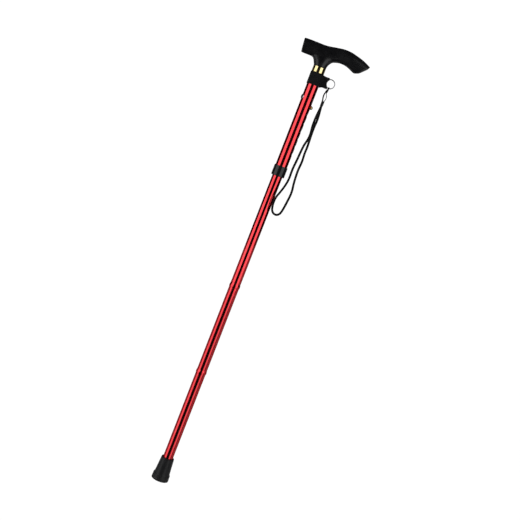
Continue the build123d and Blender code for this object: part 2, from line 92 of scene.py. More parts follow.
# How far each tape is turned about its own line: share of its length, degrees. At 0 its broad
# side faces -Y, and at 90 its edge does.
LACE_TURNS = [(0.0, 0), (0.45, 0), (0.6, 90), (1.0, 90)]
WRIST_CORD_TURNS = [
    (0.0, 0), (0.10, 24), (0.20, -10), (0.27, 16), (0.34, 40), (0.46, 46), (0.53, 38),
    (0.60, 10), (0.72, -14), (0.84, 20), (1.0, 0),
]


# ---- mesh helpers ------------------------------------------------------------------------

def place(name, mesh, body, slot, *nodes, smooth=True):
    """Show a mesh as a piece that rides on a body and stands for CAD nodes."""
    piece = bpy.data.objects.new(name, mesh)
    bpy.context.scene.collection.objects.link(piece)
    for face in mesh.polygons:
        face.use_smooth = smooth
    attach(piece, body)
    if nodes:
        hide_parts(*nodes)
    return piece


def line_of(name, route, steps):
    """Points along the smooth NURBS line that has a cord's route as its control points."""
    curve = bpy.data.curves.new(name, "CURVE")
    curve.dimensions = "3D"
    curve.resolution_u = steps
    spline = curve.splines.new("NURBS")
    spline.points.add(len(route) - 1)
    for point, at in zip(spline.points, route):
        point.co = (*at, 1.0)
    spline.order_u = 3
    spline.use_endpoint_u = True
    guide = bpy.data.objects.new(name, curve)
    mesh = bpy.data.meshes.new_from_object(guide)
    points = [vertex.co.copy() for vertex in mesh.vertices]
    bpy.data.objects.remove(guide)
    return points


def distances(points):
    """How far along a line each of its points is."""
    along = [0.0]
    for here, there in zip(points, points[1:]):
        along.append(along[-1] + (there - here).length)
    return along


def directions(points):
    """The direction of a line at each of its points."""
    last = len(points) - 1
    return [
        (points[min(i + 1, last)] - points[max(i - 1, 0)]).normalized() for i in range(last + 1)
    ]


def eased(share):
    """A share from 0 to 1 that starts and ends gently."""
    return share * share * (3 - 2 * share)


def between(stops, at):
    """A value eased from stop to stop, where stops are (position, value)."""
    for (start, first), (end, second) in zip(stops, stops[1:]):
        if at <= end:
            return first + (second - first) * eased((at - start) / (end - start))
    return stops[-1][1]


def cubic(start, start_slope, end, end_slope, share):
    """A value on the cubic that joins two ends, with a slope at each of them."""
    squared, cubed = share ** 2, share ** 3
    return (
        start * (2 * cubed - 3 * squared + 1) + start_slope * (cubed - 2 * squared + share)
        + end * (3 * squared - 2 * cubed) + end_slope * (cubed - squared)
    )


def full_turn(count):
    """Even angles round a circle."""
    return [2 * pi * k / count for k in range(count)]


def squared_circle(angle, squareness):
    """Across and up from the middle of a superellipse of half size 1, where 2 is a circle."""
    c, s = cos(angle), sin(angle)
    return copysign(abs(c) ** (2 / squareness), c), copysign(abs(s) ** (2 / squareness), s)


def face_outwards(mesh):
    """Turn every face of a mesh the same way, outwards where it is closed."""
    work = bmesh.new()
    work.from_mesh(mesh)
    bmesh.ops.recalc_face_normals(work, faces=work.faces)
    work.to_mesh(mesh)
    work.free()


def loft(name, rings, closed_ends=True, uv=None):
    """A mesh through rings of points. uv(ring, share of a turn) gives a point's coordinates."""
    mesh = bpy.data.meshes.new(name)
    count = len(rings[0])
    vertices = [point for ring in rings for point in ring]
    faces = []
    for i in range(len(rings) - 1):
        for j in range(count):
            k = (j + 1) % count
            faces.append((i * count + j, i * count + k, (i + 1) * count + k, (i + 1) * count + j))
    if closed_ends:
        faces.append(tuple(reversed(range(count))))
        faces.append(tuple((len(rings) - 1) * count + j for j in range(count)))
    mesh.from_pydata(vertices, [], faces)
    if uv:
        layer = mesh.uv_layers.new(name="weave")
        for face in mesh.polygons:
            # A face across the seam has its last side one whole turn on.
            wraps = face.loop_total == 4 and {0, count - 1} <= {
                mesh.loops[i].vertex_index % count for i in face.loop_indices
            }
            for i in face.loop_indices:
                ring, turn = divmod(mesh.loops[i].vertex_index, count)
                turn += count if wraps and turn == 0 else 0
                layer.data[i].uv = uv(ring, turn / count)
    face_outwards(mesh)
    return mesh


def tube_rings(points, radius, sides=10):
    """Round rings along a line. radius is a number or radius(share of the length)."""
    rings = []
    side = Vector((0, 1, 0))
    along = distances(points)
    for point, heading, at in zip(points, directions(points), along):
        side = (side - heading * side.dot(heading)).normalized()
        up = heading.cross(side)
        size = radius(at / along[-1]) if callable(radius) else radius
        rings.append([point + size * (cos(a) * side + sin(a) * up) for a in full_turn(sides)])
    return rings


def joined(name, meshes):
    """One mesh made of several closed ones."""
    work = bmesh.new()
    for mesh in meshes:
        work.from_mesh(mesh)
        bpy.data.meshes.remove(mesh)
    whole = bpy.data.meshes.new(name)
    work.to_mesh(whole)
    work.free()
    return whole


# ---- flat braided cords ------------------------------------------------------------------

TAPE_SIDES = 28
TAPE_SQUARENESS = 3.0             # exponent of the tape's superellipse section
BRAID_PITCH = 0.0017
BRAID_SPREAD = 1.5                # a diamond's width round the tape, in pitches
BRAID_RELIEF = 0.00013
BRAID_LEVEL = 0.7                 # share of the relief that lies below the section's outline


def tape_section(width, thickness):
    """Points and outward directions round a tape's section, across and through."""
    section = []
    for angle in full_turn(TAPE_SIDES):
        c, s = squared_circle(angle, TAPE_SQUARENESS)
        across, through = width / 2 * c, thickness / 2 * s
        outward = Vector((across / width ** 2, through / thickness ** 2)).normalized()
        section.append((across, through, outward))
    return section


def tape_mesh(name, points, width, thickness, turns):
    """A flat braided cord, whose strands stand up as small diamonds."""
    along = distances(points)
    section = tape_section(width, thickness)
    girth = 2 * (width + thickness)
    strands = max(2, round(girth / (BRAID_SPREAD * BRAID_PITCH)))
    rings = []
    for point, heading, at in zip(points, directions(points), along):
        turn = radians(between(turns, at / along[-1]))
        level = heading.cross(Vector((0, 1, 0))).normalized()
        away = level.cross(heading)
        wide = cos(turn) * level + sin(turn) * away
        thick = heading.cross(wide)
        ring = []
        for k, (across, through, outward) in enumerate(section):
            twist = strands * k / TAPE_SIDES
            one_way = sin(pi * (at / BRAID_PITCH + twist))
            other_way = sin(pi * (at / BRAID_PITCH - twist))
            lift = BRAID_RELIEF * (abs(one_way * other_way) - BRAID_LEVEL)
            ring.append(
                point + wide * (across + lift * outward.x) + thick * (through + lift * outward.y)
            )
        rings.append(ring)
    return loft(name, rings, uv=lambda ring, turn: (along[ring], turn * girth))


lace_line = line_of("lace_line", LACE_ROUTE, LACE_STEPS)
lace = place(
    "lace_tape",
    tape_mesh("lace_tape", lace_line, LACE_WIDTH, LACE_THICKNESS, LACE_TURNS),
    "strap", "cord_black", "lace",
)

wrist_line = line_of("wrist_line", WRIST_CORD_ROUTE, WRIST_CORD_STEPS)
wrist_cord = place(
    "wrist_loop",
    tape_mesh(
        "wrist_loop", wrist_line, WRIST_CORD_WIDTH, WRIST_CORD_THICKNESS, WRIST_CORD_TURNS
    ),
    "strap", "cord_black", "wrist_cord",
)

# ---- lace's hitch on the ring ------------------------------------------------------------

RING_CENTRE = Vector((0.0285, 0.0, 0.797))
RING_R = 0.00815
RING_WIRE_R = 0.00085
RING_CLEARANCE = 0.0001           # between the wire and what goes round it
HITCH_TOP = Vector((0.02845, 0.0, 0.7872))
HITCH_FOOT = Vector((0.02665, 0.0, 0.7797))
HITCH_TURNS = 5
HITCH_STEPS = 26                  # points round each turn
HITCH_CORD_R = 0.00075
# Radius of the winding's middle line: share of the way down, metres.
HITCH_RADII = [(0.0, 0.0010), (0.35, 0.0015), (0.7, 0.0017), (1.0, 0.0015)]
HITCH_CORE_STEPS = 12
HITCH_CORE_SIDES = 16
HITCH_CORE_INSET = 0.0001         # from the winding's middle line
# The loop over the ring's wire: its arc, then its ends beside and below the hitch's top, where
# the winding covers them, and the places of its two strands side by side.
HITCH_LOOP_START = radians(-40)
HITCH_LOOP_ARC = radians(260)
HITCH_LOOP_END = (0.0005, 0.0012)
HITCH_LOOPS_X = (-0.0005, 0.0007)


def core_radius(share):
    """Radius of the core that fills the winding, by share of the way down."""
    return between(HITCH_RADII, share) - HITCH_CORE_INSET


def hitch_mesh():
    """A cord wound round itself under the ring, with a loop over the ring's wire."""
    axis = (HITCH_FOOT - HITCH_TOP).normalized()
    side = Vector((0, 1, 0))
    front = axis.cross(side)
    winding = []
    for k in range(HITCH_TURNS * HITCH_STEPS + 1):
        share = k / (HITCH_TURNS * HITCH_STEPS)
        angle = 2 * pi * k / HITCH_STEPS
        out = cos(angle) * side + sin(angle) * front
        winding.append(HITCH_TOP.lerp(HITCH_FOOT, share) + between(HITCH_RADII, share) * out)
    core = [
        HITCH_TOP.lerp(HITCH_FOOT, k / HITCH_CORE_STEPS) for k in range(HITCH_CORE_STEPS + 1)
    ]
    loop_centre = RING_CENTRE - Vector((0, 0, RING_R))
    loop_r = RING_WIRE_R + HITCH_CORD_R + RING_CLEARANCE
    beside, below = HITCH_LOOP_END
    loop = [HITCH_TOP + Vector((0, beside, -below))]
    for k in range(HITCH_STEPS + 1):
        angle = HITCH_LOOP_START + HITCH_LOOP_ARC * k / HITCH_STEPS
        loop.append(loop_centre + loop_r * Vector((0, cos(angle), sin(angle))))
    loop.append(HITCH_TOP + Vector((0, -beside, -below)))
    return joined("hitch_winding", [
        loft("winding", tube_rings(winding, HITCH_CORD_R)),
        loft("core", tube_rings(core, core_radius, HITCH_CORE_SIDES)),
        *(loft("loop", tube_rings([point + Vector((x, 0, 0)) for point in loop], HITCH_CORD_R))
          for x in HITCH_LOOPS_X),
    ])


lace_knot = place("hitch_winding", hitch_mesh(), "strap", "cord_black", "lace_hitch")

# ---- webbing round the upper tube --------------------------------------------------------

TUBE_R = 0.0111
WEBBING = 0.0012                  # thickness
BELT_CLEARANCE = 0.00002          # between the webbing and the tube
BELT_R = TUBE_R + BELT_CLEARANCE + WEBBING / 2
BELT_LEAVES_AT = radians(38)      # where the webbing leaves the tube for the tab
PINCH_X = 0.0146                  # where the tab's two layers meet
PINCH_END_X = 0.0176              # where they open again for the ring
PINCH_GAP = 0.00006               # between the tab's two layers
PINCH_Y = WEBBING / 2 + PINCH_GAP / 2
FOLD_R = RING_WIRE_R + RING_CLEARANCE + WEBBING / 2
FOLD_LAST_X = (0.0238, 0.0226)    # the fold's centre past the ring, at its bottom and its top
BELT_BOTTOM, BELT_TOP = 0.7844, 0.80725
TAB_BOTTOM, TAB_TOP = 0.7864, 0.8066
BELT_ROWS = 64
# Points in half of the belt's plan: round the tube, off it, along the tab, to the fold, round it.
ARC_STEPS, LEAVING_STEPS, PINCH_STEPS, OPENING_STEPS, FOLD_STEPS = 70, 20, 8, 10, 12
SELVEDGE = 0.0009                 # how far from its edges the webbing thins
SELVEDGE_EDGE = 0.55              # share of the thickness at the very edge
RIB_PITCH = 0.00115
RIB_RELIEF = 0.00006
RIB_ROWS = 2                      # mesh rows in one woven row


def eased_curve(start, start_way, end, end_way, steps):
    """Points of a cubic that leaves one place and arrives at another in given directions."""
    reach = (end - start).length
    return [
        cubic(start, start_way * reach, end, end_way * reach, k / steps) for k in range(steps)
    ]


def belt_half(fold_x):
    """Half of the webbing's plan, from the back of the tube to the end of the fold."""
    points = []
    for k in range(ARC_STEPS):
        angle = pi - (pi - BELT_LEAVES_AT) * k / ARC_STEPS
        points.append(BELT_R * Vector((cos(angle), sin(angle))))
    leaves = BELT_R * Vector((cos(BELT_LEAVES_AT), sin(BELT_LEAVES_AT)))
    way = Vector((sin(BELT_LEAVES_AT), -cos(BELT_LEAVES_AT)))
    ahead = Vector((1, 0))
    pinch_start, pinch_end = Vector((PINCH_X, PINCH_Y)), Vector((PINCH_END_X, PINCH_Y))
    points += eased_curve(leaves, way, pinch_start, ahead, LEAVING_STEPS)
    points += [pinch_start.lerp(pinch_end, k / PINCH_STEPS) for k in range(PINCH_STEPS)]
    points += eased_curve(pinch_end, ahead, Vector((fold_x, FOLD_R)), ahead, OPENING_STEPS)
    for k in range(FOLD_STEPS):
        angle = pi / 2 * (1 - k / FOLD_STEPS)
        points.append(Vector((fold_x + FOLD_R * cos(angle), FOLD_R * sin(angle))))
    points.append(Vector((fold_x + FOLD_R, 0)))
    return points


def belt_sheets():
    """The belt's outer and inner rows, with woven ribs and thin selvedges, and its lengths."""
    outside, inside, lengths = [], [], []
    for row in range(BELT_ROWS + 1):
        share = row / BELT_ROWS
        z_tab = TAB_BOTTOM + (TAB_TOP - TAB_BOTTOM) * share
        z_belt = BELT_BOTTOM + (BELT_TOP - BELT_BOTTOM) * share
        reach = RING_R ** 2 - (z_tab - RING_CENTRE.z) ** 2
        ring_x = RING_CENTRE.x - sqrt(reach) if reach > 0 else RING_CENTRE.x
        half = belt_half(min(ring_x, FOLD_LAST_X[z_tab > RING_CENTRE.z]))
        plan = half + [Vector((p.x, -p.y)) for p in reversed(half[1:-1])]
        edge = min(share, 1 - share) * (BELT_TOP - BELT_BOTTOM)
        fullness = min(1, edge / SELVEDGE)
        half_thickness = WEBBING / 2 * (SELVEDGE_EDGE + (1 - SELVEDGE_EDGE) * fullness)
        woven = RIB_RELIEF * fullness * (1 if row % (2 * RIB_ROWS) < RIB_ROWS else -1)
        along = distances(plan)
        outer_row, inner_row = [], []
        for k, point in enumerate(plan):
            way = (plan[(k + 1) % len(plan)] - plan[k - 1]).normalized()
            out = Vector((-way.y, way.x))
            onto_tab = max(0.0, min(1.0, (point.x - TUBE_R) / (PINCH_END_X - TUBE_R)))
            z = z_belt + (z_tab - z_belt) * eased(onto_tab)
            rib = woven * sin(2 * pi * along[k] / RIB_PITCH)
            outer_row.append(Vector((*(point + out * (half_thickness + rib)), z)))
            inner_row.append(Vector((*(point - out * half_thickness), z)))
        outside.append(outer_row)
        inside.append(inner_row)
        lengths.append(along)
    return outside, inside, lengths


def closed_belt(name, outside, inside, lengths):
    """A solid between an outer and an inner sheet of rows that close on themselves."""
    rows, count = len(outside), len(outside[0])
    vertices = [p for row in outside for p in row] + [p for row in inside for p in row]
    shift = rows * count
    faces = []
    for i in range(rows - 1):
        for j in range(count):
            k = (j + 1) % count
            a, b, c, d = i * count + j, i * count + k, (i + 1) * count + k, (i + 1) * count + j
            faces.append((a, b, c, d))
            faces.append((a + shift, d + shift, c + shift, b + shift))
    for i in (0, rows - 1):
        for j in range(count):
            k = (j + 1) % count
            a, b = i * count + j, i * count + k
            faces.append((a, b, b + shift, a + shift))
    mesh = bpy.data.meshes.new(name)
    mesh.from_pydata(vertices, [], faces)
    layer = mesh.uv_layers.new(name="weave")
    for face in mesh.polygons:
        # A face across the seam has its last side about one step past the belt's last point.
        turns = [mesh.loops[i].vertex_index % shift % count for i in face.loop_indices]
        wraps = 0 in turns and count - 1 in turns
        for i in face.loop_indices:
            row, turn = divmod(mesh.loops[i].vertex_index % shift, count)
            along = lengths[row][turn]
            if wraps and turn == 0:
                along = lengths[row][-1] + WEBBING / 4
            layer.data[i].uv = (along, outside[row][turn].z)
    face_outwards(mesh)
    return mesh


strap_belt = place(
    "webbing_belt", closed_belt("webbing_belt", *belt_sheets()),
    "root", "webbing_black", "strap_band",
)

STITCH_ROWS_X = (0.0150, 0.0171)
STITCHES = 8
STITCH_R = 0.00022
STITCH_COVER = 0.8                # share of its pitch that a stitch covers
STITCH_MARGIN = 0.3               # below the first stitch, in pitches
STITCH_ENDS = 0.4                 # room left over at both ends together, in pitches
STITCH_RISE = 0.0003
STITCH_SINK = 0.00012
STITCH_STEPS = 8
STITCH_SIDES = 8


def stitching_mesh():
    """Two rows of stitches through the tab, on both of its sides."""
    threads = []
    pitch = (TAB_TOP - TAB_BOTTOM) / (STITCHES + STITCH_ENDS)
    face_y = PINCH_Y + WEBBING / 2
    for x in STITCH_ROWS_X:
        for side in (-1, 1):
            for k in range(STITCHES):
                low = TAB_BOTTOM + pitch * (STITCH_MARGIN + k)
                points = []
                for step in range(STITCH_STEPS + 1):
                    share = step / STITCH_STEPS
                    y = face_y + sin(pi * share) ** 0.5 * STITCH_RISE - STITCH_SINK
                    points.append(Vector((x, side * y, low + STITCH_COVER * pitch * share)))
                threads.append(loft("stitch", tube_rings(points, STITCH_R, STITCH_SIDES)))
    return joined("tab_stitching", threads)


stitching = place("tab_stitching", stitching_mesh(), "root", "webbing_black")

# ---- derby grip --------------------------------------------------------------------------

# Oval sections across the arm: x, top z, bottom z, half thickness.
ARM_SECTIONS = [
    (-0.0480, 0.8572, 0.8322, 0.0120), (-0.0360, 0.8578, 0.8314, 0.0128),
    (-0.0220, 0.8579, 0.8313, 0.0134), (-0.0020, 0.8580, 0.8290, 0.0136),
    (0.0150, 0.8608, 0.8326, 0.0136), (0.0300, 0.8631, 0.8370, 0.0136),
    (0.0444, 0.8626, 0.8359, 0.0134), (0.0588, 0.8594, 0.8302, 0.0128),
    (0.0713, 0.8556, 0.8276, 0.0120), (0.0880, 0.8480, 0.8260, 0.0110),
]
# A point and the outward direction of the heel's flat, then of the toe's three.
GRIP_FLATS = [
    (Vector((-0.0433, 0, 0.8520)), Vector((-0.995, 0, -0.100))),
    (Vector((0.0816, 0, 0.8457)), Vector((0.848, 0, -0.530))),
    (Vector((0.0749, 0, 0.8388)), Vector((0.700, 0, -0.714))),
    (Vector((0.0630, 0, 0.8307)), Vector((0.400, 0, -0.917))),
]
# Oval sections up the neck: z, centre x, half length, half thickness.
NECK_SECTIONS = [
    (0.8160, 0.0, 0.0115, 0.0114), (0.8185, 0.0, 0.0116, 0.0115),
    (0.8232, -0.0008, 0.0129, 0.0119), (0.8287, -0.0011, 0.0157, 0.0124),
    (0.8327, -0.0021, 0.0198, 0.0128), (0.8370, -0.0019, 0.0243, 0.0126),
    (0.8430, -0.0030, 0.0220, 0.0116),
]
GRIP_SEAT_Z = 0.8181
GRIP_SQUARENESS = 2.25
GRIP_SIDES = 56
ARM_STEPS = 90
NECK_STEPS = 30
GRIP_VOXEL = 0.0008
GRIP_SMOOTHING = 14


def smooth_table(rows, at):
    """A row of a table, drawn through its rows by a Catmull-Rom curve on the first column."""
    last = len(rows) - 1
    i = max(k for k in range(last) if rows[k][0] <= at or k == 0)
    width = rows[i + 1][0] - rows[i][0]
    t = (at - rows[i][0]) / width
    before, after = rows[max(i - 1, 0)], rows[min(i + 2, last)]
    found = []
    for column in range(1, len(rows[0])):
        a, b = rows[i][column], rows[i + 1][column]
        slope_a = (b - before[column]) / (rows[i + 1][0] - before[0]) * width
        slope_b = (after[column] - a) / (after[0] - rows[i][0]) * width
        found.append(cubic(a, slope_a, b, slope_b, t))
    return found


def oval(centre, across, half_across, up, half_up):
    """A slightly squared oval in the plane of two directions."""
    ring = []
    for angle in full_turn(GRIP_SIDES):
        c, s = squared_circle(angle, GRIP_SQUARENESS)
        ring.append(centre + across * half_across * c + up * half_up * s)
    return ring


def cut(mesh, origin, outward):
    """Cut away what lies outside a plane, and close the cut."""
    work = bmesh.new()
    work.from_mesh(mesh)
    geometry = work.verts[:] + work.edges[:] + work.faces[:]
    found = bmesh.ops.bisect_plane(
        work, geom=geometry, dist=1e-7, plane_co=origin, plane_no=outward, clear_outer=True
    )
    edges = [item for item in found["geom_cut"] if isinstance(item, bmesh.types.BMEdge)]
    bmesh.ops.holes_fill(work, edges=edges, sides=0)
    bmesh.ops.recalc_face_normals(work, faces=work.faces)
    work.to_mesh(mesh)
    work.free()


def applied(mesh, kind, **settings):
    """A mesh with one modifier applied."""
    piece = bpy.data.objects.new("work", mesh)
    bpy.context.scene.collection.objects.link(piece)
    modifier = piece.modifiers.new("work", kind)
    for setting, value in settings.items():
        setattr(modifier, setting, value)
    result = bpy.data.meshes.new_from_object(
        piece.evaluated_get(bpy.context.evaluated_depsgraph_get())
    )
    bpy.data.objects.remove(piece)
    return result


def grip_mesh():
    """Arm and neck grown together, with eased edges and a flat seat on the brass collar."""
    x_way, y_way, z_way = Vector((1, 0, 0)), Vector((0, 1, 0)), Vector((0, 0, 1))
    first, last = ARM_SECTIONS[0][0], ARM_SECTIONS[-1][0]
    rings = []
    for k in range(ARM_STEPS + 1):
        x = first + (last - first) * k / ARM_STEPS
        top, bottom, half = smooth_table(ARM_SECTIONS, x)
        centre = Vector((x, 0, (top + bottom) / 2))
        rings.append(oval(centre, y_way, half, z_way, (top - bottom) / 2))
    arm = loft("arm", rings)
    for origin, outward in GRIP_FLATS:
        cut(arm, origin, outward)
    first, last = NECK_SECTIONS[0][0], NECK_SECTIONS[-1][0]
    rings = []
    for k in range(NECK_STEPS + 1):
        z = first + (last - first) * k / NECK_STEPS
        centre_x, half_length, half = smooth_table(NECK_SECTIONS, z)
        rings.append(oval(Vector((centre_x, 0, z)), x_way, half_length, y_way, half))
    whole = joined("grip_moulding", [arm, loft("neck", rings)])
    whole = applied(whole, "REMESH", mode="VOXEL", voxel_size=GRIP_VOXEL)
    whole = applied(whole, "SMOOTH", factor=0.5, iterations=GRIP_SMOOTHING)
    cut(whole, Vector((0, 0, GRIP_SEAT_Z)), Vector((0, 0, -1)))
    whole.name = "grip_moulding"
    return whole


grip = place("grip_moulding", grip_mesh(), "root", "soft_touch_black", "handle_grip")

# ---- material nodes ----------------------------------------------------------------------

MIX_A, MIX_B, MIX_OUT = 6, 7, 2   # colour sockets of a Mix node

# How fast each pattern changes, per metre: alike in every direction, or along X, Y and Z.
SMUDGES = 75.0
SCRATCHES = (500, 500, 90)
SCRATCHED_AREAS = 34.0
CLOUDS = 55.0
SPECKS = 900.0
RUBBER_GRAIN = 2200.0
RUBBER_FLOW = (60, 60, 300)
RUBBER_SCUFFS = 420.0
YARN_FIBRES = 5200.0
YARN_BLOTCHES = 160.0
SHEATH_FIBRES = 4200.0

METAL_ROUGHNESS_SPREAD = 0.2             # share up and down, along the lines
SMUDGE_ROUGHNESS = 0.04
SCRATCH_ROUGHNESS = 0.12
SCRATCH_STRENGTH = 0.2
SPECK_STRENGTH = 0.5
SPECK_PALENESS = 2.2                     # times the dusty colour
SEAM_DEPTH = 0.00012
SEAM_PROFILE = ((0.10, 1), (0.30, 0))    # millimetres from the middle plane, share of the depth
DUST_HEIGHT = 0.0125                     # how far up the foot the ground's dust reaches
DUST_STRENGTH = 0.55
GROUND_DUST = (0.085, 0.080, 0.072)
FIBRE_RELIEF = 0.45                      # next to the yarn's own
YARN_SHEEN = 0.01
SHEATH_STRANDS = 4
SHEATH_RISE = 2600                       # radians per metre


class Surface:
    """A material whose node tree is built by short calls."""

    def __init__(self, name):
        self.material = bpy.data.materials.new(name)
        self.material.use_nodes = True
        self.tree = self.material.node_tree
        self.shader = self.tree.nodes["Principled BSDF"]

    def node(self, kind, inputs=None, **settings):
        """A node with its settings, and its inputs linked or set."""
        made = self.tree.nodes.new("ShaderNode" + kind)
        for name, value in settings.items():
            setattr(made, name, value)
        for name, value in (inputs or {}).items():
            self.put(made.inputs[name], value)
        return made

    def put(self, socket, value):
        """Link a socket to an input, or set the input to a value."""
        if isinstance(value, bpy.types.NodeSocket):
            self.tree.links.new(value, socket)
        else:
            socket.default_value = value

    def set(self, **values):
        """Sockets of the shader, with _ for each space in a socket's name."""
        for name, value in values.items():
            self.put(self.shader.inputs[name.replace("_", " ")], value)

    def object_place(self, scale=(1, 1, 1)):
        """Places on the piece, in metres times scale."""
        place_node = self.node("TexCoord")
        return self.node(
            "Mapping", {"Vector": place_node.outputs["Object"], "Scale": scale}
        ).outputs[0]

    def weave_place(self, scale=(1, 1, 1)):
        """Places along and across the cloth, in metres times scale."""
        place_node = self.node("UVMap", uv_map="weave")
        return self.node("Mapping", {"Vector": place_node.outputs[0], "Scale": scale}).outputs[0]

    def noise(self, vector, scale, detail=3.0, roughness=0.5):
        """A noise pattern between 0 and 1."""
        return self.node("TexNoise", {
            "Vector": vector, "Scale": scale, "Detail": detail, "Roughness": roughness,
        }).outputs["Fac"]

    def ramp(self, factor, *stops):
        """A factor taken through straight stops of (position, value)."""
        made = self.node("ValToRGB", {"Fac": factor})
        elements = made.color_ramp.elements
        while len(elements) < len(stops):
            elements.new(0.5)
        for element, (position, value) in zip(elements, stops):
            element.position = position
            element.color = (value, value, value, 1)
        return made.outputs["Color"]

    def maths(self, operation, *values):
        """The result of one Math node."""
        made = self.node("Math", operation=operation)
        for socket, value in zip(made.inputs, values):
            self.put(socket, value)
        return made.outputs[0]

    def mix(self, factor, first, second):
        """A colour between two colours."""
        made = self.node("Mix", data_type="RGBA")
        self.put(made.inputs[0], factor)
        self.put(made.inputs[MIX_A], colour(first))
        self.put(made.inputs[MIX_B], colour(second))
        return made.outputs[MIX_OUT]

    def parts_of(self, vector):
        """The X, Y and Z of a vector."""
        return self.node("SeparateXYZ", {"Vector": vector}).outputs

    def bump(self, height, depth, below=None):
        """A normal raised by a height from 0 to 1 times depth, over another bump."""
        inputs = {"Height": height, "Distance": depth, "Strength": 1.0}
        if below is not None:
            inputs["Normal"] = below
        return self.node("Bump", inputs).outputs[0]


def colour(value):
    """A colour with its alpha, or a socket as it is."""
    return value if isinstance(value, bpy.types.NodeSocket) else (*value, 1.0)


def metal(name, base, worn, roughness, lines, depth, coat=0.0, bare=None, edge=(1, 1, 1)):
    """Metal with drawn or turned lines, handling smudges and fine scratches.

    lines is how fast the lines change along X, Y and Z. bare is the colour of flat cut ends,
    and edge tints what the metal mirrors at a grazing angle.
    """
    surface = Surface(name)
    where = surface.object_place()
    grain = surface.noise(surface.object_place(lines), 1.0, detail=4.0, roughness=0.6)
    smudge = surface.noise(where, SMUDGES, detail=4.0, roughness=0.6)
    field = surface.noise(surface.object_place(SCRATCHES), 1.0, detail=2.0, roughness=0.7)
    scratches = surface.ramp(field, (0.492, 0), (0.5, 1), (0.508, 0))
    areas = surface.ramp(surface.noise(where, SCRATCHED_AREAS), (0.52, 0), (0.66, 1))
    scratches = surface.maths("MULTIPLY", scratches, areas)
    tone = surface.mix(surface.ramp(smudge, (0.35, 0), (0.75, 1)), base, worn)
    tone = surface.mix(surface.maths("MULTIPLY", scratches, SCRATCH_STRENGTH), tone, bare or worn)
    if bare:
        normal = surface.parts_of(surface.node("NewGeometry").outputs["Normal"])
        flat = surface.ramp(surface.maths("ABSOLUTE", normal[2]), (0.75, 0), (0.9, 1))
        tone = surface.mix(flat, tone, bare)
    rough = surface.node("MapRange", {
        "Value": grain, "To Min": roughness * (1 - METAL_ROUGHNESS_SPREAD),
        "To Max": roughness * (1 + METAL_ROUGHNESS_SPREAD),
    }).outputs[0]
    smudged = surface.ramp(smudge, (0.4, 0), (0.8, 1))
    rough = surface.maths("MULTIPLY_ADD", smudged, SMUDGE_ROUGHNESS, rough)
    rough = surface.maths("MULTIPLY_ADD", scratches, SCRATCH_ROUGHNESS, rough)
    surface.set(
        Base_Color=tone, Metallic=1.0, Roughness=rough, Coat_Weight=coat, Coat_Roughness=0.08,
        Specular_Tint=(*edge, 1), Normal=surface.bump(grain, depth),
    )
    return surface.material


def plastic(name, base, dusty, roughness, grain_size, depth, seam=False, specular=0.5):
    """Moulded plastic with a fine grain, cloudy patches of tone and gloss, and pale dust specks.
    """
    surface = Surface(name)
    where = surface.object_place()
    fine = surface.noise(where, 1 / grain_size, detail=2.0)
    clouds = surface.noise(where, CLOUDS, detail=4.0, roughness=0.6)
    specks = surface.ramp(surface.noise(where, SPECKS, detail=2.0), (0.66, 0), (0.74, 1))
    tone = surface.mix(surface.ramp(clouds, (0.35, 0), (0.8, 1)), base, dusty)
    dust = surface.maths("MULTIPLY", specks, SPECK_STRENGTH)
    tone = surface.mix(dust, tone, [channel * SPECK_PALENESS for channel in dusty])
    rough = surface.node("MapRange", {
        "Value": clouds, "From Min": 0.3, "From Max": 0.7,
        "To Min": roughness - 0.06, "To Max": roughness + 0.08,
    }).outputs[0]
    normal = surface.bump(fine, depth)
    if seam:
        offset = surface.maths("ABSOLUTE", surface.parts_of(where)[1])
        line = surface.ramp(surface.maths("MULTIPLY", offset, 1000), *SEAM_PROFILE)
        normal = surface.bump(line, SEAM_DEPTH, normal)
    surface.set(Base_Color=tone, Roughness=rough, Specular_IOR_Level=specular, Normal=normal)
    return surface.material


def rubber(name):
    """Moulded foot rubber: matt, with flow marks, scuffs and dust near the ground."""
    surface = Surface(name)
    where = surface.object_place()
    fine = surface.noise(where, RUBBER_GRAIN, roughness=0.6)
    marks = surface.noise(surface.object_place(RUBBER_FLOW), 1.0, detail=4.0, roughness=0.6)
    height = surface.maths("MULTIPLY", surface.parts_of(where)[2], 0.5 / DUST_HEIGHT)
    low = surface.ramp(height, (0.0, 1), (0.5, 0))
    scuffs = surface.noise(where, RUBBER_SCUFFS, detail=5.0, roughness=0.7)
    scuffs = surface.ramp(scuffs, (0.52, 0), (0.72, 1))
    dust = surface.maths("MULTIPLY", surface.maths("MULTIPLY", low, scuffs), DUST_STRENGTH)
    tone = surface.mix(marks, (0.0035, 0.0035, 0.0040), (0.0075, 0.0075, 0.0080))
    tone = surface.mix(dust, tone, GROUND_DUST)
    rough = surface.maths("MULTIPLY_ADD", marks, 0.14, 0.28)
    rough = surface.maths("MULTIPLY_ADD", dust, 0.3, rough)
    normal = surface.bump(marks, 0.00008, surface.bump(fine, 0.00002))
    surface.set(Base_Color=tone, Roughness=rough, Specular_IOR_Level=0.20, Normal=normal)
    return surface.material


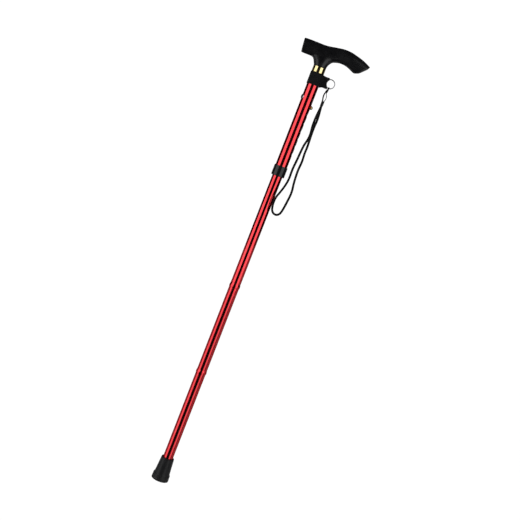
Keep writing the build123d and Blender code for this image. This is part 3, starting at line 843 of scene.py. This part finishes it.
def cloth(name, base, pale, pitch, depth):
    """Woven or braided yarn, read from the weave's own coordinates."""
    surface = Surface(name)
    where = surface.object_place()
    along, across = surface.parts_of(surface.weave_place((pi / pitch, pi / pitch, 1)))[0:2]
    one = surface.maths("SINE", surface.maths("ADD", along, across))
    two = surface.maths("SINE", surface.maths("SUBTRACT", along, across))
    yarns = surface.maths("ABSOLUTE", surface.maths("MULTIPLY", one, two))
    fibres = surface.noise(where, YARN_FIBRES, roughness=0.7)
    blotches = surface.noise(where, YARN_BLOTCHES, roughness=0.6)
    height = surface.maths("MULTIPLY_ADD", fibres, FIBRE_RELIEF, yarns)
    # Painted shade and painted highlight: the yarns are darker in the weave's hollows and paler
    # on their crests, following the relief's height.
    tone = surface.mix(surface.ramp(height, (0.2, 0), (1.0, 1)), base, pale)
    tone = surface.mix(surface.ramp(blotches, (0.4, 0), (0.8, 0.35)), tone, pale)
    surface.set(
        Base_Color=tone, Roughness=surface.maths("MULTIPLY_ADD", fibres, 0.2, 0.62),
        Sheen_Weight=YARN_SHEEN, Sheen_Roughness=0.4, Specular_IOR_Level=0.08,
        Normal=surface.bump(height, depth),
    )
    return surface.material


def sheathed_cord(name):
    """The elastic cord's braided sheath, which has no coordinates of its own."""
    surface = Surface(name)
    where = surface.object_place()
    x, y, height = surface.parts_of(where)
    angle = surface.maths("ARCTAN2", y, x)
    rise = surface.maths("MULTIPLY", height, SHEATH_RISE)
    one = surface.maths("SINE", surface.maths("MULTIPLY_ADD", angle, SHEATH_STRANDS, rise))
    two = surface.maths("SINE", surface.maths("MULTIPLY_ADD", angle, -SHEATH_STRANDS, rise))
    yarns = surface.maths("ABSOLUTE", surface.maths("MULTIPLY", one, two))
    fibres = surface.noise(where, SHEATH_FIBRES, roughness=0.7)
    # Painted shade and painted highlight: darker where the braid's strands dip, paler on their
    # crests.
    tone = surface.mix(yarns, (0.02, 0.02, 0.022), (0.07, 0.07, 0.075))
    marker = surface.maths("SINE", surface.maths("ADD", angle, height))
    fleck = surface.ramp(marker, (0.93, 0), (0.97, 1))
    tone = surface.mix(fleck, tone, (0.5, 0.5, 0.48))
    surface.set(
        Base_Color=tone, Roughness=surface.maths("MULTIPLY_ADD", fibres, 0.2, 0.6),
        Sheen_Weight=0.3, Normal=surface.bump(surface.maths("ADD", yarns, fibres), 0.0002),
    )
    return surface.material


# ---- materials on pieces -----------------------------------------------------------------

DRAWN = (1500, 1500, 9)           # lines that run along the tube
TURNED = (25, 25, 5200)           # rings left by turning
ROLLED = (700, 700, 700)

BLACK_YARN = (0.0012, 0.0012, 0.0013)
# The paler yarn tone: painted highlight on the raised yarns against painted shade in the weave's
# hollows, and random blotches.
LIT_CREST_AND_BLOTCH_YARN = (0.0060, 0.0060, 0.0065)

red_anodised = metal(
    "red_anodised", (0.86, 0.056, 0.068), (0.76, 0.042, 0.052), 0.12, DRAWN, 0.000001,
    coat=0.2, bare=(0.80, 0.80, 0.81), edge=(0.42, 0.01, 0.02),
)
brass = metal(
    "polished_brass", (0.93, 0.79, 0.40), (0.82, 0.66, 0.30), 0.09, TURNED, 0.000003
)
button_brass = metal(
    "button_brass", (0.62, 0.47, 0.20), (0.50, 0.36, 0.15), 0.24, ROLLED, 0.00001
)
steel = metal(
    "nickelled_steel", (0.46, 0.46, 0.48), (0.34, 0.34, 0.36), 0.20, ROLLED, 0.000006
)
spring_steel = metal(
    "spring_steel", (0.46, 0.47, 0.50), (0.36, 0.35, 0.36), 0.26, ROLLED, 0.00001
)
aluminium = metal(
    "bare_aluminium", (0.80, 0.80, 0.81), (0.68, 0.68, 0.70), 0.27, TURNED, 0.000009
)
soft_touch = plastic(
    "soft_touch_black", (0.0020, 0.0020, 0.0023), (0.0042, 0.0042, 0.0047), 0.24, 0.00028,
    0.00002, seam=True, specular=0.34,
)
black_plastic = plastic(
    "black_plastic", (0.0030, 0.0030, 0.0033), (0.0060, 0.0060, 0.0065), 0.17, 0.00022, 0.00001,
    specular=0.38,
)
nylon = plastic("nylon_grey", (0.10, 0.10, 0.11), (0.15, 0.15, 0.155), 0.42, 0.0003, 0.00002)
foot_rubber = rubber("foot_rubber")
webbing = cloth("webbing_black", BLACK_YARN, LIT_CREST_AND_BLOTCH_YARN, 0.0011, 0.00012)
braid = cloth("cord_black", BLACK_YARN, LIT_CREST_AND_BLOTCH_YARN, 0.00062, 0.0001)
shock_cord = sheathed_cord("shock_cord")

CAD_FINISHES = [
    (red_anodised, [
        "lower_section_tube", "middle_section_tube", "upper_section_tube", "adjusting_tube",
        "upper_tube",
    ]),
    (brass, ["brass_collar"]),
    (button_brass, ["snap_button"]),
    (steel, ["handle_rivet", "strap_ring", "tip_washer", "cord_crimp_bottom", "cord_crimp_top"]),
    (spring_steel, ["snap_spring"]),
    (aluminium, ["lower_joint_spigot", "middle_joint_spigot", "upper_joint_spigot"]),
    (black_plastic, [
        "cord_anchor_bottom", "cord_anchor_top", "collet_sleeve", "lock_collar", "cord_joiner",
    ]),
    (nylon, ["handle_stem"]),
    (foot_rubber, ["rubber_tip"]),
    (shock_cord, ["elastic_cord"]),
]

for finish, node_names in CAD_FINISHES:
    for node_name in node_names:
        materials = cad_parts[node_name].data.materials
        materials.clear()
        materials.append(finish)

grip.data.materials.append(soft_touch)
strap_belt.data.materials.append(webbing)
for piece in (stitching, lace, wrist_cord, lace_knot):
    piece.data.materials.append(braid)

# ---- stage and lights --------------------------------------------------------------------

FLOOR_Z = -0.26                   # under the foot when every joint is drawn out
FLOOR_RINGS = (0.001, 0.3, 1.0, 2.2)
STAGE_R = 3.6
STAGE_TOP = 5.0
STAGE_SIDES = 96
COVE_STEPS = 12                   # from the floor up to the wall
ROOF_BEVEL = (0.6, 1.0)           # inwards and down from the stage's top edge
STAGE_GLOW = 0.97

stage_surface = Surface("pale_stage")
stage_surface.set(
    Base_Color=(0.06, 0.06, 0.06, 1), Roughness=0.9, Specular_IOR_Level=0.0,
    Emission_Color=(1, 1, 1, 1), Emission_Strength=STAGE_GLOW,
)
profile = [(radius, 0.0) for radius in FLOOR_RINGS]
cove_r = STAGE_R - FLOOR_RINGS[-1]
for k in range(1, COVE_STEPS + 1):
    angle = pi / 2 * k / COVE_STEPS
    profile.append((FLOOR_RINGS[-1] + cove_r * sin(angle), cove_r * (1 - cos(angle))))
profile += [
    (STAGE_R, STAGE_TOP - ROOF_BEVEL[1]), (STAGE_R - ROOF_BEVEL[0], STAGE_TOP),
    (FLOOR_RINGS[0], STAGE_TOP),
]
stage_rings = [
    [Vector((radius * cos(a), radius * sin(a), FLOOR_Z + height)) for a in full_turn(STAGE_SIDES)]
    for radius, height in profile
]
stage_mesh = loft("stage", stage_rings, closed_ends=False)
stage_mesh.flip_normals()
stage_mesh.materials.append(stage_surface.material)
stage = bpy.data.objects.new("stage", stage_mesh)
bpy.context.scene.collection.objects.link(stage)
for face in stage_mesh.polygons:
    face.use_smooth = True
stage.visible_glossy = False
stage.visible_shadow = False

WORLD_TONE = (0.012, 0.012, 0.013, 1)

world = bpy.data.worlds.new("dark_world")
world.use_nodes = True
world.node_tree.nodes["Background"].inputs["Color"].default_value = WORLD_TONE
bpy.context.scene.world = world

# Softboxes: azimuth from the camera's side, positive to the right, in degrees, then width,
# height, middle's z and power. In front, each side has a wide one with a weaker one below it.
# Two stand behind, and two low ones light the tubes' sides.
SOFTBOXES = [
    (-55, 1.55, 2.114, 1.193, 15.9), (46, 1.45, 2.114, 1.193, 14.7),
    (-61, 1.30, 1.486, -0.607, 7.3), (40, 1.05, 1.486, -0.607, 5.0),
    (-152, 0.7, 3.6, 0.45, 3.2), (155, 0.7, 3.6, 0.45, 3.2),
    (-118, 1.6, 1.0, -0.2, 1.6), (105, 2.3, 1.0, -0.2, 2.5),
]
SOFTBOX_DISTANCE = 1.7

for number, (azimuth, width, height, middle_z, power) in enumerate(SOFTBOXES):
    box = bpy.data.lights.new(f"softbox_{number}", "AREA")
    box.shape = "RECTANGLE"
    box.size = width
    box.size_y = height
    box.energy = power
    holder = bpy.data.objects.new(f"softbox_{number}", box)
    turn = radians(azimuth)
    holder.location = (SOFTBOX_DISTANCE * sin(turn), -SOFTBOX_DISTANCE * cos(turn), middle_z)
    towards = Vector((0, 0, middle_z)) - holder.location
    holder.rotation_mode = "QUATERNION"
    holder.rotation_quaternion = towards.to_track_quat("-Z", "Y")
    holder.visible_camera = False
    bpy.context.scene.collection.objects.link(holder)

bpy.context.scene.view_settings.view_transform = "Standard"
